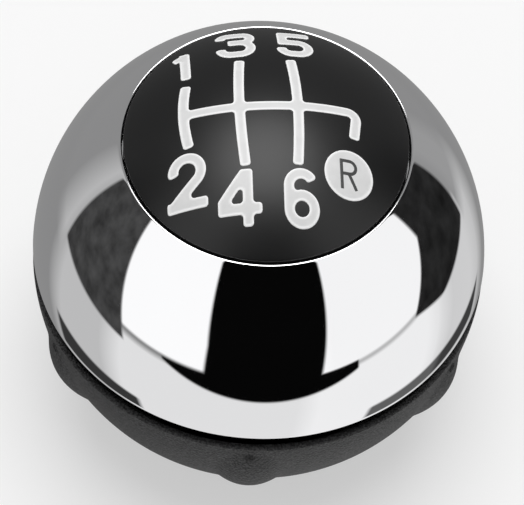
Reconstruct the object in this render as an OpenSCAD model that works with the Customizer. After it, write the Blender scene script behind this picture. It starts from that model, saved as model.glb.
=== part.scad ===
// Ball-shaped gear shift knob: a plated upper shell and a grained lower half round one inner core,
// with a domed cap that carries an inlaid six-speed shift pattern.
// The knob stands on its foot at z = 0 with the lever's axis on Z, and the pattern reads from -Y.

/* [Ball] */
// Diameter of the ball at its equator, over the plated shell and over the lower half
ball_d = 52; // [50:0.5:56]
// Height of the ball's equator over the foot
centre_h = 22; // [21.5:0.25:23]
// How far past the axis the ball's arc is struck, which makes the ball a little tall
ball_stretch = 2; // [1:0.1:2.4]
// Height of the plated shell's lower edge over the equator
shell_edge_up = 1.4; // [1.2:0.1:2]
// Height of the dark groove between the two halves
reveal_h = 2; // [1.2:0.1:2.6]
// Depth of that groove
reveal_depth = 2.7; // [2:0.1:3]

/* [Shell] */
// Wall of the plated shell
shell_wall = 1.8; // [1.4:0.1:2]
// Chamfer on the shell's lower edge
shell_chamfer = 0.4; // [0.2:0.1:0.8]
// Chamfer on the rim round the cap
lip_chamfer = 0.25; // [0.1:0.05:0.4]
// Thickness of the ledge under the cap
ledge_t = 1; // [0.8:0.1:1.4]
// How far the ledge reaches in under the cap
ledge_w = 1.4; // [1.2:0.05:1.5]

/* [Cap] */
// Radius of the domed cap
cap_r = 15.6; // [15.2:0.1:16.2]
// Thickness of the dome
cap_t = 2.4; // [1.8:0.1:2.6]
// How far the dome's edge lies under the plated shell's surface
cap_sink = 0.1; // [0:0.05:0.4]
// Width of the cap's rim
cap_rim_w = 1.4; // [1:0.1:1.8]
// Depth of the cap's edge, from the dome down to the gasket
cap_edge_h = 2.2; // [1.8:0.1:2.6]
// Number of snap hooks
hooks = 3; // [2:1:4]
// Arc of each snap hook, in degrees
hook_arc = 40; // [24:2:60]
// Thickness of a snap hook's arm
hook_t = 1.3; // [1:0.1:1.6]
// Gap between a hook's arm and the ledge
hook_gap = 0.4; // [0.3:0.05:0.5]
// How far a hook's nose reaches under the deck
hook_nose = 0.5; // [0.4:0.05:0.8]
// Height of a hook's nose
hook_nose_h = 1.1; // [0.8:0.1:1.4]
// Thickness of the ring that holds the weight down
hold_ring_t = 1.4; // [1:0.1:1.8]
// Gap between that ring and the hooks round it
hold_gap = 1.1; // [0.7:0.1:1.5]
// Thickness of the gasket under the cap's rim
gasket_t = 0.6; // [0.4:0.1:0.9]
// Width of the gasket
gasket_w = 1.2; // [0.8:0.1:1.3]

/* [Pattern] */
// Distance between the two middle lanes, where they cross the cross lane
lane_pitch = 6.3; // [6:0.05:6.5]
// Distance from the left lane to its neighbour
left_pitch = 6; // [5.8:0.05:6.2]
// Distance from the reverse lane to its neighbour
right_pitch = 6.3; // [6:0.05:6.4]
// Radius to which the two middle lanes bow outwards
lane_bow_r = 70; // [40:5:100]
// Radius to which the left lane bows outwards
left_bow_r = 20; // [18:1:40]
// Place of the middle between those two lanes, to the right of the axis
pattern_x = 0.05; // [-0.2:0.05:0.2]
// Place of the cross lane, ahead of the axis
pattern_y = 0.75; // [0.4:0.05:1.2]
// Length of the two middle lanes, from the cross lane to either end
lane_long = 7.15; // [6.6:0.05:7.3]
// Length of the left lane, from the cross lane to either end
lane_short = 4.2; // [3.8:0.05:4.6]
// Length of the reverse lane below the cross lane
lane_reverse = 3.4; // [2.8:0.1:3.7]
// How far the reverse lane leans inwards, in degrees
reverse_lean = 9; // [0:1:12]
// Width of the lanes
lane_w = 1.15; // [0.9:0.05:1.4]
// Outer radius of the corner into the reverse lane
corner_r = 1.5; // [1.2:0.1:2]
// Depth of the inlays
inlay_depth = 0.8; // [0.5:0.1:1.1]
// How far the inlays stand proud of the dome
inlay_proud = 0.08; // [0.02:0.02:0.2]
// Radius of the disc behind the reverse letter
reverse_r = 2.68; // [2.4:0.02:2.8]
// Place of the disc's centre, to the right of the pattern's middle
reverse_x = 8.27; // [8.05:0.02:8.45]
// Place of the disc's centre, behind the cross lane
reverse_y = 7.56; // [7.4:0.02:7.9]
// Height of the reverse letter
letter_h = 3.2; // [2.6:0.1:3.3]
// Width of the reverse letter
letter_w = 1.9; // [1.6:0.1:2.1]
// Width of the letter's strokes
letter_stroke = 0.34; // [0.26:0.02:0.44]

/* [Numerals] */
// Height of the numerals 2 and 6, seen from above
numeral_h = 6.05; // [5.4:0.05:6.2]
// Height of the numeral 4, seen from above
four_h = 5.75; // [5.2:0.05:6]
// Height of the numerals 3 and 5, seen from above
far_numeral_h = 5.3; // [4.8:0.05:5.5]
// Height of the numeral 1, seen from above
one_h = 4.9; // [4.4:0.05:5]
// Width of a numeral's strokes
numeral_stroke = 1.12; // [0.9:0.02:1.2]
// Width of the numeral 2
two_w = 4.3; // [4:0.1:4.6]
// Width of the numeral 3
three_w = 4.45; // [4.2:0.05:4.8]
// Width of the numeral 4
four_w = 4.7; // [4.4:0.1:5]
// Width of the numeral 5
five_w = 4.15; // [4:0.05:4.6]
// Width of the numeral 6
six_w = 3.8; // [3.6:0.1:4]
// Gap between a long lane's near end and its numeral
numeral_gap = 0.35; // [0.3:0.05:0.6]
// Gap between the left lane's near end and the numeral 2
two_gap = 0.55; // [0.45:0.05:0.65]
// Gap between a lane's far end and its numeral
far_gap = 0.7; // [0.5:0.05:0.8]
// Gap between the left lane's far end and the numeral 1
one_gap = 1.1; // [0.9:0.05:1.2]

/* [Core] */
// Wall of the core
core_wall = 2.3; // [1.8:0.1:2.6]
// Outer radius of the core's tube round the lever
tube_r = 8.8; // [8.6:0.05:9]
// Thickness of the web that carries the weight
web_t = 2; // [1.6:0.1:2.6]
// Height of the web's top over the equator
web_up = 4; // [3.6:0.1:5]
// Thickness of the deck that the cap hooks into
deck_t = 2.3; // [1.8:0.1:2.6]
// How far the deck reaches in under the cap
deck_w = 1.6; // [1.5:0.05:1.7]
// Number of ribs under the web
core_ribs = 6; // [3:3:12]
// Thickness of those ribs
core_rib_t = 1.6; // [1.2:0.1:2]
// Height of those ribs
core_rib_h = 5; // [3:0.5:5]
// Thickness of the tube's closed end
tube_end_t = 2.6; // [2:0.1:3]

/* [Weight] */
// Gap between the steel weight's top and the hooks over it
weight_head = 0.35; // [0.2:0.05:4]
// Width of the steel weight, from its bore to its rim
weight_w = 4; // [2.6:0.1:4.2]
// Thickness of the foam pad on the weight
pad_t = 1; // [0.6:0.1:1.4]
// How far the pad reaches past either side of the ring that presses on it
pad_reach = 0.4; // [0.2:0.1:0.6]

/* [Lever] */
// Radius of the tapped hole for the lever, at the thread's crests
thread_hole_r = 4.25; // [3.3:0.05:5.1]
// Outer radius of the brass insert
insert_r = 7; // [6.4:0.1:7.2]
// Length of the insert
insert_l = 20; // [16:0.5:21]
// Width of the groove that keys the insert into the core
insert_groove_w = 3; // [2:0.5:5]
// Depth of that groove
insert_groove_d = 0.8; // [0.4:0.1:1.2]
// Room for the lever's end above the insert
lever_room_h = 3; // [2:0.2:4]
// Width of the shoulder that the insert's top bears on
insert_shoulder = 1.4; // [0.8:0.1:1.8]
// Radius of the lever's shank below its thread
shank_r = 6; // [5.6:0.1:6.2]
// Outer radius of the rubber sleeve at the mouth
sleeve_r = 7.6; // [7.4:0.05:7.7]
// Length of the rubber sleeve
sleeve_l = 6.4; // [4:0.2:7]

/* [Base] */
// Wall of the lower half
base_wall = 2; // [1.6:0.1:2.3]
// Wall of its thin upper rim
base_rim_t = 0.8; // [0.6:0.05:1.2]
// Thickness of its floor
floor_t = 2.4; // [2:0.1:2.6]
// Radius of its foot
foot_r = 16.2; // [16:0.1:16.6]
// Radius of the hole for the lever in its floor
mouth_r = 6.6; // [6.5:0.05:6.9]

/* [Lobes] */
// Number of raised lobes round the lower half
lobes = 6; // [3:1:8]
// Turn of the lobes about the lever, in degrees
lobe_turn = -5; // [-30:0.5:30]
// How far a lobe stands out of the ball
lobe_proud = 1.12; // [0.8:0.02:1.2]
// Radius of a lobe's rounded crest
lobe_crest_r = 4.9; // [4:0.1:5.4]
// Angle below the equator of a lobe's middle
lobe_at = 18; // [16.5:0.5:21]
// Radius of the arch that a lobe's crest follows down the ball
lobe_arch_r = 13.22; // [12.2:0.02:14]
// Arc of the roll that makes a lobe, in degrees, with both ends inside the ball
lobe_arc = 120; // [110:1:124]
// Radius of the small dimple at the top of each lobe
dimple_r = 0.6; // [0.4:0.05:0.8]
// Depth of the dimple
dimple_depth = 0.3; // [0.15:0.05:0.35]
// Angle below the equator of the dimple
dimple_at = 4.5; // [4:0.5:8]

/* [Screws] */
// Number of screws that hold the two halves together
screws = 3; // [3:1:3]
// Radius of the circle of screws
screw_circle_r = 12.4; // [12.3:0.05:12.5]
// Radius of a screw's thread
screw_r = 1.45; // [1.2:0.05:1.5]
// Length of a screw under its head
screw_l = 11; // [9:0.5:12]
// Radius of a screw's head
screw_head_r = 2.45; // [2:0.05:2.5]
// Height of a screw's head
screw_head_h = 1.8; // [1.4:0.1:2.2]
// Width of the cross slot in a screw's head
slot_w = 0.6; // [0.4:0.05:0.8]
// Length of that slot
slot_l = 2.8; // [2:0.1:3.2]
// Depth of that slot
slot_depth = 1; // [0.6:0.1:1.2]
// Depth of the recess for a screw's head
recess_depth = 4.6; // [3.6:0.1:5]
// Height at which the two halves' bosses meet
boss_meet_h = 9; // [8:0.25:9.5]
// Radius of the lower half's bosses
base_boss_r = 3.3; // [3.25:0.05:3.4]
// Radius of the core's bosses
core_boss_r = 2.7; // [2.2:0.05:2.9]

/* [Clearances] */
// Gap round the cap in the plated shell
cap_gap = 0.15; // [0.1:0.01:0.25]
// Gap between the plated shell and the core
shell_gap = 0.1; // [0.05:0.01:0.15]
// Gap between the deck and the shell's ledge, and over a hook's nose
deck_gap = 0.05; // [0.02:0.01:0.1]
// Gap round the weight
weight_gap = 0.3; // [0.2:0.05:0.4]
// Gap between the core's neck and the lower half
neck_gap = 0.3; // [0.2:0.05:0.4]
// Gap under the core's tube
tube_gap = 0.2; // [0.1:0.05:0.3]
// Radial gap round a screw's thread in the lower half
screw_gap = 0.15; // [0.1:0.05:0.3]
// Radial gap round a screw's head
head_gap = 0.15; // [0.1:0.01:0.25]
// Radial gap round a screw's thread in the core, where it has cut its own way
bite_gap = 0.02; // [0.01:0.01:0.05]
// Radial gap round the lever's shank in the rubber sleeve
shank_gap = 0.1; // [0.05:0.05:0.2]

/* [Hidden] */
$fn = 96;

// A length past every piece, for cutting tools, and a small overrun
far = 100;
over = 1;

ball_r = ball_d / 2;
arc_r = ball_r + ball_stretch;
shell_edge_z = centre_h + shell_edge_up;
base_edge_z = shell_edge_z - reveal_h;
groove_z = base_edge_z - reveal_depth;

// The other leg of a right triangle with hypotenuse r
function leg(r, a) = sqrt(r * r - a * a);

// Radius of the ball's surface, or of one that lies inset deep in it, at a height from the equator
function ball_at(dz, inset) = leg(arc_r - inset, dz) - ball_stretch;

opening_r = cap_r + cap_gap;

// The dome is a sphere that touches the ball's surface, or the one cap_sink under it, at its edge
dome_edge_a = acos((cap_r + ball_stretch) / (arc_r - cap_sink));
dome_r = cap_r / cos(dome_edge_a);
dome_z = centre_h + (arc_r - cap_sink - dome_r) * sin(dome_edge_a);
dome_in_r = dome_r - cap_t;

cap_bottom_z = dome_z + leg(dome_r, cap_r) - cap_edge_h;
ledge_z = cap_bottom_z - gasket_t;
ledge_in_r = cap_r - ledge_w;
deck_z = ledge_z - ledge_t - deck_gap;
deck_in_r = cap_r - deck_w;
hook_out_r = ledge_in_r - hook_gap;
hook_bottom_z = deck_z - deck_t - deck_gap - hook_nose_h;
hold_ring_r = hook_out_r - hook_t - hold_gap - hold_ring_t;
core_in = shell_wall + shell_gap;
neck_r = ball_at(centre_h - groove_z, base_wall) - neck_gap;
neck_step_z = shell_edge_z + shell_chamfer;
neck_bottom_z = groove_z - over;
web_z = centre_h + web_up;
weight_top_z = hook_bottom_z - weight_head;
hold_z = weight_top_z + pad_t;
tube_bottom_z = floor_t + tube_gap;
insert_z = tube_bottom_z + sleeve_l;
insert_top_z = insert_z + insert_l;
tube_top_z = insert_top_z + lever_room_h + tube_end_t;

// How far out the arch of a lobe's crest is centred, and the crest at an angle below the equator
lobe_arch_out = arc_r + lobe_proud - lobe_arch_r;
function crest_at(a) = lobe_arch_out * cos(a - lobe_at) + leg(lobe_arch_r, lobe_arch_out * sin(a - lobe_at));

// The radius of the cap that the pattern's sizes are given for: the pattern grows with the cap
pattern_cap_r = 15.6;
pattern_grow = cap_r / pattern_cap_r;

// The pattern's lanes, from left to right, where they meet the cross lane
lane_x = [pattern_x - lane_pitch / 2 - left_pitch, pattern_x - lane_pitch / 2,
    pattern_x + lane_pitch / 2, pattern_x + lane_pitch / 2 + right_pitch];
near_end_y = pattern_y - lane_long - numeral_gap;
far_end_y = pattern_y + lane_long + far_gap;

// How far the numerals lie to the right of their lanes' middles
one_shift = 0.5;
two_shift = 0.15;
three_shift = 0.1;
four_shift = 0.48;
five_shift = 0.34;
six_shift = -0.1;

// A straight stroke of width s between two points, with flat ends
module bar(p, q, s) {
    d = q - p;
    translate(p) rotate(atan2(d[1], d[0])) translate([0, -s / 2]) square([norm(d), s]);
}

// A round stroke of outer radius r and width s, from angle a to angle b
module arc(r, s, a, b) {
    steps = 4;
    rim = [for (i = [0:steps]) let (t = a + (b - a) * i / steps) far * [cos(t), sin(t)]];
    intersection() {
        difference() {
            circle(r);
            circle(r - s);
        }
        polygon(concat([[0, 0]], rim));
    }
}

// The same stroke, led into at its angle a by a straight one of length l
module crook(r, s, a, b, l) {
    rotate(a) {
        arc(r, s, 0, b - a);
        translate([r - s, -l]) square([s, l]);
    }
}

// A bowl open to the left: two arms of length a and a round end, h high over all
module bowl(h, a, s) {
    r = h / 2;
    translate([a, 0]) arc(r, s, -90, 90);
    translate([0, r - s]) square([a, s]);
    translate([0, -r]) square([a, s]);
}

// The numerals, h high and w wide, with strokes s wide, about the centre of their height.
// 1 and 4 are centred on their stems, and the others on their width.
module figure_1(h, s) {
    flag_t = 0.8 * s;
    translate([-s / 2, -h / 2]) square([s, h]);
    bar([0, h / 2 - flag_t / 2], [-1.1 * s, h / 2 - 1.05 * s], flag_t);
}

module figure_2(h, w, s) {
    r = 0.47 * w;
    middle_r = r - s / 2;
    heel = [0.4 * s - w / 2, 0.37 * s - h + r];
    turn = atan2(heel[1], heel[0]) + acos(middle_r / norm(heel));
    translate([0, h / 2 - r]) crook(r, s, turn, 194, leg(norm(heel), middle_r));
    translate([-w / 2, -h / 2]) square([w, s]);
}

module figure_3(h, w, s) {
    top_h = 0.54 * h;
    low_h = h - top_h + s;
    translate([(top_h - w) / 2, (h - top_h) / 2]) {
        bowl(top_h, w - top_h, s);
        arc(top_h / 2, s, 90, 180);
    }
    translate([(low_h - w) / 2, (low_h - h) / 2]) {
        bowl(low_h, w - low_h, s);
        arc(low_h / 2, s, 180, 270);
    }
}

module figure_4(h, w, s) {
    foot = 0.2 * h;
    left = 0.68 * w;
    intersection() {
        union() {
            translate([-s / 2, -h / 2]) square([s, h]);
            translate([-left, foot - h / 2]) square([w, s]);
            bar([0, h / 2], [-left, foot - h / 2 + s / 2], s);
        }
        translate([-left, -h / 2]) square([w, h]);
    }
}

module figure_5(h, w, s) {
    low_h = 0.66 * h;
    side = 0.2 * s - w / 2;
    translate([(low_h - w) / 2, (low_h - h) / 2]) {
        bowl(low_h, w - low_h, s);
        arc(low_h / 2, s, 180, 270);
    }
    translate([side, h / 2 - s]) square([w - 0.45 * s, s]);
    translate([side, low_h - h / 2 - s]) square([s, h - low_h + s]);
    translate([side, low_h - h / 2 - s]) square([w / 2, s]);
}

module figure_6(h, w, s) {
    r = w / 2;
    translate([0, r - h / 2]) arc(r, s, 0, 360);
    translate([-r, r - h / 2]) square([s, h - 2 * r]);
    translate([0, h / 2 - r]) arc(r, s, 27, 180);
}

// The shift pattern's parts, in plan
module plan_gate() {
    bend_r = corner_r - lane_w / 2;
    corner_x = lane_x[3] - bend_r;
    leg_l = (lane_reverse - bend_r * (1 + sin(reverse_lean))) / cos(reverse_lean);
    lane(lane_x[0] + left_bow_r, 180, left_bow_r, lane_short);
    lane(lane_x[1] + lane_bow_r, 180, lane_bow_r, lane_long);
    lane(lane_x[2] - lane_bow_r, 0, lane_bow_r, lane_long);
    bar([lane_x[0], pattern_y], [corner_x, pattern_y], lane_w);
    translate([corner_x, pattern_y - bend_r]) crook(corner_r, lane_w, -reverse_lean, 90, leg_l);
}

// A bowed lane of radius r about x, towards an angle, with its ends a distance up and down the pattern
module lane(x, towards, r, end) {
    half = asin(end / r);
    translate([x, pattern_y]) arc(r + lane_w / 2, lane_w, towards - half, towards + half);
}

module plan_1() {
    translate([lane_x[0] + one_shift, pattern_y + lane_short + one_gap + one_h / 2])
        figure_1(one_h, numeral_stroke);
}

module plan_2() {
    translate([lane_x[0] + two_shift, pattern_y - lane_short - two_gap - numeral_h / 2])
        figure_2(numeral_h, two_w, numeral_stroke);
}

module plan_3() {
    translate([lane_x[1] + three_shift, far_end_y + far_numeral_h / 2])
        figure_3(far_numeral_h, three_w, numeral_stroke);
}

module plan_4() {
    translate([lane_x[1] + four_shift, near_end_y - four_h / 2])
        figure_4(four_h, four_w, numeral_stroke);
}

module plan_5() {
    translate([lane_x[2] + five_shift, far_end_y + far_numeral_h / 2])
        figure_5(far_numeral_h, five_w, numeral_stroke);
}

module plan_6() {
    translate([lane_x[2] + six_shift, near_end_y - numeral_h / 2])
        figure_6(numeral_h, six_w, numeral_stroke);
}

module plan_disc() {
    translate([pattern_x + reverse_x, pattern_y - reverse_y]) circle(reverse_r);
}

// The reverse letter: a stem, a bowl and a leg
module plan_letter() {
    s = letter_stroke;
    bowl_h = 0.54 * letter_h;
    translate([pattern_x + reverse_x, pattern_y - reverse_y]) {
        translate([-letter_w / 2, -letter_h / 2]) square([s, letter_h]);
        translate([-letter_w / 2, letter_h / 2 - bowl_h / 2]) bowl(bowl_h, letter_w - bowl_h / 2, s);
        bar([0, letter_h / 2 - bowl_h + s / 2], [letter_w / 2 - s / 2, -letter_h / 2], s);
    }
}

// A layer of the dome, between two depths under its surface, cut to a plan shape
module in_dome(top, bottom) {
    intersection() {
        translate([0, 0, dome_z]) difference() {
            sphere(dome_r + top);
            sphere(dome_r - bottom);
        }
        translate([0, 0, dome_z]) linear_extrude(height = far) scale(pattern_grow) children();
    }
}

// The ball's section, or one that lies inset deep in it
module ball_section(inset) {
    translate([-ball_stretch, centre_h]) circle(arc_r - inset);
}

module marks() {
    plan_gate();
    plan_1();
    plan_2();
    plan_3();
    plan_4();
    plan_5();
    plan_6();
    plan_disc();
}

// The part of a section between two heights
module band(low, high) {
    translate([0, low]) square([far, high - low]);
}

// A ring's section: radii a to b, heights low to high
module box(a, b, low, high) {
    translate([a, low]) square([b - a, high - low]);
}

// Places a child on each screw's axis
module at_screw(i) {
    rotate(90 + i * 360 / screws) translate([screw_circle_r, 0, 0]) children();
}

// The domed black cap, with its rim, its ring and its snap hooks
module cap() {
    color([0.1, 0.1, 0.105]) difference() {
        union() {
            rotate_extrude() {
                intersection() {
                    translate([0, dome_z]) difference() {
                        circle(dome_r);
                        circle(dome_in_r);
                    }
                    box(0, cap_r, cap_bottom_z, far);
                }
                intersection() {
                    translate([0, dome_z]) circle(dome_r - cap_t / 2);
                    union() {
                        box(cap_r - cap_rim_w, cap_r, cap_bottom_z, far);
                        box(hold_ring_r, hold_ring_r + hold_ring_t, hold_z, far);
                    }
                }
            }
            for (i = [0:hooks - 1])
                rotate(i * 360 / hooks - hook_arc / 2) rotate_extrude(angle = hook_arc) {
                    intersection() {
                        translate([0, dome_z]) circle(dome_r - cap_t / 2);
                        box(hook_out_r - hook_t, hook_out_r, hook_bottom_z, far);
                    }
                    box(hook_out_r - hook_t, deck_in_r + hook_nose, hook_bottom_z,
                        hook_bottom_z + hook_nose_h);
                }
        }
        in_dome(over, inlay_depth) marks();
    }
}

module gate_lines() {
    color([0.86, 0.86, 0.86]) in_dome(inlay_proud, inlay_depth) plan_gate();
}

module numeral_1() {
    color([0.86, 0.86, 0.86]) in_dome(inlay_proud, inlay_depth) plan_1();
}

module numeral_2() {
    color([0.86, 0.86, 0.86]) in_dome(inlay_proud, inlay_depth) plan_2();
}

module numeral_3() {
    color([0.86, 0.86, 0.86]) in_dome(inlay_proud, inlay_depth) plan_3();
}

module numeral_4() {
    color([0.86, 0.86, 0.86]) in_dome(inlay_proud, inlay_depth) plan_4();
}

module numeral_5() {
    color([0.86, 0.86, 0.86]) in_dome(inlay_proud, inlay_depth) plan_5();
}

module numeral_6() {
    color([0.86, 0.86, 0.86]) in_dome(inlay_proud, inlay_depth) plan_6();
}

// The white disc, with a pocket half its depth for the letter
module reverse_disc() {
    color([0.88, 0.88, 0.88]) difference() {
        in_dome(inlay_proud, inlay_depth) plan_disc();
        in_dome(over, inlay_depth / 2) plan_letter();
    }
}

module reverse_letter() {
    color([0.12, 0.12, 0.12]) in_dome(inlay_proud, inlay_depth / 2) plan_letter();
}

// The thin foam ring between the cap's rim and the shell's ledge
module cap_gasket() {
    color([0.05, 0.05, 0.05]) rotate_extrude()
        box(cap_r - gasket_w, cap_r, ledge_z, cap_bottom_z);
}

// The plated upper shell: a half-ball with an opening, a ledge for the cap and chamfered edges
module chrome_shell() {
    edge_r = ball_at(shell_edge_up, 0);
    lip_z = centre_h + leg(arc_r, opening_r + ball_stretch);
    color([0.8, 0.8, 0.82]) rotate_extrude() difference() {
        union() {
            difference() {
                ball_section(0);
                ball_section(shell_wall);
                band(-far, shell_edge_z);
                box(-far, opening_r, -far, far);
            }
            intersection() {
                ball_section(shell_wall / 2);
                union() {
                    box(ledge_in_r, far, ledge_z - ledge_t, ledge_z);
                    box(opening_r, far, ledge_z - ledge_t, ledge_z + ledge_t);
                }
            }
        }
        translate([edge_r, shell_edge_z]) rotate(45)
            square(shell_chamfer * sqrt(2), center = true);
        translate([opening_r, lip_z]) rotate(45) square(lip_chamfer * sqrt(2), center = true);
    }
}

// The inner core: a ball-shaped wall with a deck, a web, a tube for the lever, ribs and bosses
module core() {
    color([0.07, 0.07, 0.075]) difference() {
        union() {
            rotate_extrude() {
                intersection() {
                    difference() {
                        ball_section(core_in);
                        ball_section(core_in + core_wall);
                    }
                    box(0, far, neck_step_z, deck_z);
                }
                box(neck_r - core_wall, neck_r, neck_bottom_z, neck_step_z + over);
                intersection() {
                    ball_section(core_in + core_wall / 2);
                    box(deck_in_r, far, deck_z - deck_t, deck_z);
                }
                box(tube_r - over, neck_r - core_wall / 2, web_z - web_t, web_z);
                box(0, tube_r, tube_bottom_z, tube_top_z);
            }
            for (i = [0:core_ribs - 1])
                rotate(i * 360 / core_ribs)
                    translate([tube_r - over, -core_rib_t / 2, web_z - web_t - core_rib_h])
                        cube([neck_r - core_wall / 2 - tube_r + over, core_rib_t, core_rib_h + over]);
            for (i = [0:screws - 1]) {
                at_screw(i) translate([0, 0, boss_meet_h])
                    cylinder(r = core_boss_r, h = web_z - over - boss_meet_h);
                rotate(90 + i * 360 / screws)
                    translate([tube_r - over, -core_rib_t / 2, boss_meet_h + over])
                        cube([screw_circle_r - core_boss_r + 2 * over - tube_r, core_rib_t,
                            web_z - web_t - boss_meet_h]);
            }
        }
        translate([0, 0, tube_bottom_z - over]) cylinder(r = sleeve_r, h = sleeve_l + over);
        lever_insert_body();
        translate([0, 0, insert_top_z - over])
            cylinder(r = insert_r - insert_shoulder, h = lever_room_h + over);
        for (i = [0:screws - 1])
            at_screw(i) translate([0, 0, boss_meet_h - over])
                cylinder(r = screw_r + bite_gap, h = screw_l + over);
    }
}

// The steel ring that gives the knob its weight, on the core's web
module weight() {
    inner_r = tube_r + weight_gap;
    color([0.45, 0.45, 0.47]) rotate_extrude()
        box(inner_r, inner_r + weight_w, web_z, weight_top_z);
}

// The foam pad between the weight and the cap's ring
module damping_pad() {
    color([0.2, 0.2, 0.21]) rotate_extrude()
        box(hold_ring_r - pad_reach, hold_ring_r + hold_ring_t + pad_reach, weight_top_z, hold_z);
}

// The insert's outside: a brass bush with a groove round its middle
module lever_insert_body() {
    groove_low = insert_z + (insert_l - insert_groove_w) / 2;
    rotate_extrude() difference() {
        box(0, insert_r, insert_z, insert_top_z);
        box(insert_r - insert_groove_d, far, groove_low, groove_low + insert_groove_w);
    }
}

module lever_insert() {
    color([0.72, 0.58, 0.3]) difference() {
        lever_insert_body();
        translate([0, 0, insert_z - over]) cylinder(r = thread_hole_r, h = insert_l + 2 * over);
    }
}

// The rubber sleeve that steadies the lever's shank in the core's mouth
module rubber_sleeve() {
    color([0.13, 0.13, 0.13]) translate([0, 0, tube_bottom_z]) difference() {
        cylinder(r = sleeve_r, h = sleeve_l);
        translate([0, 0, -over]) cylinder(r = shank_r + shank_gap, h = sleeve_l + 2 * over);
    }
}

// Places a child at each lobe's azimuth
module at_lobes() {
    for (i = [0:lobes - 1])
        rotate(lobe_turn - 90 + i * 360 / lobes) children();
}

// Turns a child about the centre of the ball's arc, a degrees below the equator
module on_ball(a) {
    translate([-ball_stretch, 0, centre_h]) rotate([0, a, 0]) children();
}

// One raised lobe: an arched roll along a meridian of the ball, whose ends run out into the ball
module lobe() {
    on_ball(lobe_at) translate([lobe_arch_out, 0, 0])
        rotate([90, 0, 0]) rotate(-lobe_arc / 2) rotate_extrude(angle = lobe_arc)
            translate([lobe_arch_r - lobe_crest_r, 0]) circle(lobe_crest_r);
}

// The grained lower half: a ball-shaped wall with a floor, lobes, a thin rim and screw bosses
module base() {
    dimple_tool_r = 1.2 * dimple_r;
    color([0.17, 0.17, 0.175]) difference() {
        union() {
            rotate_extrude() intersection() {
                ball_section(0);
                box(0, far, 0, base_edge_z);
            }
            cylinder(r = foot_r, h = floor_t);
            at_lobes() lobe();
        }
        difference() {
            rotate_extrude() intersection() {
                ball_section(base_wall);
                box(0, far, floor_t, far);
            }
            for (i = [0:screws - 1])
                at_screw(i) cylinder(r = base_boss_r, h = boss_meet_h);
        }
        translate([0, 0, groove_z]) cylinder(r = ball_r - base_rim_t, h = far);
        translate([0, 0, base_edge_z]) cylinder(r = far, h = far);
        translate([0, 0, -over]) cylinder(r = mouth_r, h = floor_t + 2 * over);
        for (i = [0:screws - 1])
            at_screw(i) {
                translate([0, 0, -over])
                    cylinder(r = screw_head_r + head_gap, h = recess_depth + over);
                cylinder(r = screw_r + screw_gap, h = boss_meet_h + over);
            }
        at_lobes() on_ball(dimple_at)
            translate([crest_at(dimple_at) + dimple_tool_r - dimple_depth, 0, 0]) sphere(dimple_tool_r);
    }
}

// One self-tapping screw with a crossed slot, head down
module base_screw(i) {
    color([0.62, 0.62, 0.64]) at_screw(i) translate([0, 0, recess_depth]) {
        cylinder(r = screw_r, h = screw_l);
        difference() {
            translate([0, 0, -screw_head_h]) cylinder(r = screw_head_r, h = screw_head_h);
            for (a = [0, 90])
                rotate(a) translate([-slot_l / 2, -slot_w / 2, -screw_head_h - over])
                    cube([slot_l, slot_w, slot_depth + over]);
        }
    }
}

cap();
gate_lines();
numeral_1();
numeral_2();
numeral_3();
numeral_4();
numeral_5();
numeral_6();
reverse_disc();
reverse_letter();
cap_gasket();
chrome_shell();
core();
weight();
damping_pad();
lever_insert();
rubber_sleeve();
base();
base_screw(0);  // base_screw_1
base_screw(1);  // base_screw_2
base_screw(2);  // base_screw_3
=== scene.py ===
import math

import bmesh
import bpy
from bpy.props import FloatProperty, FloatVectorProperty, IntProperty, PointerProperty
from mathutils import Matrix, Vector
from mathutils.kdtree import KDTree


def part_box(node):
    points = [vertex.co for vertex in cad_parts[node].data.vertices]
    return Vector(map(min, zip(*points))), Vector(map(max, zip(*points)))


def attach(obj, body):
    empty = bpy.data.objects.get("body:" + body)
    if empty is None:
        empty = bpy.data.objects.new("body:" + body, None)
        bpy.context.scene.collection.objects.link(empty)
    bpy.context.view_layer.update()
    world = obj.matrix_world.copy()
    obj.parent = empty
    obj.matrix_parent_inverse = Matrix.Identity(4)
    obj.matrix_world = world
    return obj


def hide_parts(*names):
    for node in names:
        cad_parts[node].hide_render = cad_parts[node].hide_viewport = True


bl_info = {
    "name": "Ball Shift Knob",
    "version": (1, 0, 0),
    "blender": (4, 5, 0),
    "location": "3D View > Sidebar > Shift Knob",
    "description": "Dresses a ball-shaped gear shift knob: plated shell, inlaid cap and grained base",
    "category": "Object",
}

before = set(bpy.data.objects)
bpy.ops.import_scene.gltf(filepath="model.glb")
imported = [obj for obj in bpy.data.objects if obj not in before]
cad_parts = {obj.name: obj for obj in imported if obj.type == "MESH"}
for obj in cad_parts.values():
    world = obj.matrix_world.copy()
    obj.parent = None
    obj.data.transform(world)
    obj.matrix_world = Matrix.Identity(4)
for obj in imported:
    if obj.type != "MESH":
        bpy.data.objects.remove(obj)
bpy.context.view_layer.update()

MM = 0.001
DEGREES = 180 / math.pi
INLAYS = ["gate_lines", "numeral_1", "numeral_2", "numeral_3", "numeral_4", "numeral_5", "numeral_6",
          "reverse_disc", "reverse_letter"]
SCREWS = ["base_screw_1", "base_screw_2", "base_screw_3"]

# The photograph's size and the place of the ball's middle in it, in pixels
PHOTO_W, PHOTO_H = 524, 505
BALL_AT = (258.5, 250.3)
FOCAL_LENGTH_PX = 2700

# Steps round the axis of each turned piece, and along its long arcs
TURN_STEPS = {"shell": 360, "cap": 288, "hook": 24, "base": 480, "boss": 48, "fitting": 128, "screw": 64}
ARC_STEPS = {"shell": (110, 40), "cap": (60, 12, 6), "base": (84, 24)}

# The angle in degrees past which an edge is shaded sharp
SHARP_ANGLE = 35


def length(name, description, millimetres):
    """A property for a length, given in millimetres and kept in metres."""
    return FloatProperty(name=name, description=description, default=millimetres * MM, unit="LENGTH")


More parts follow.
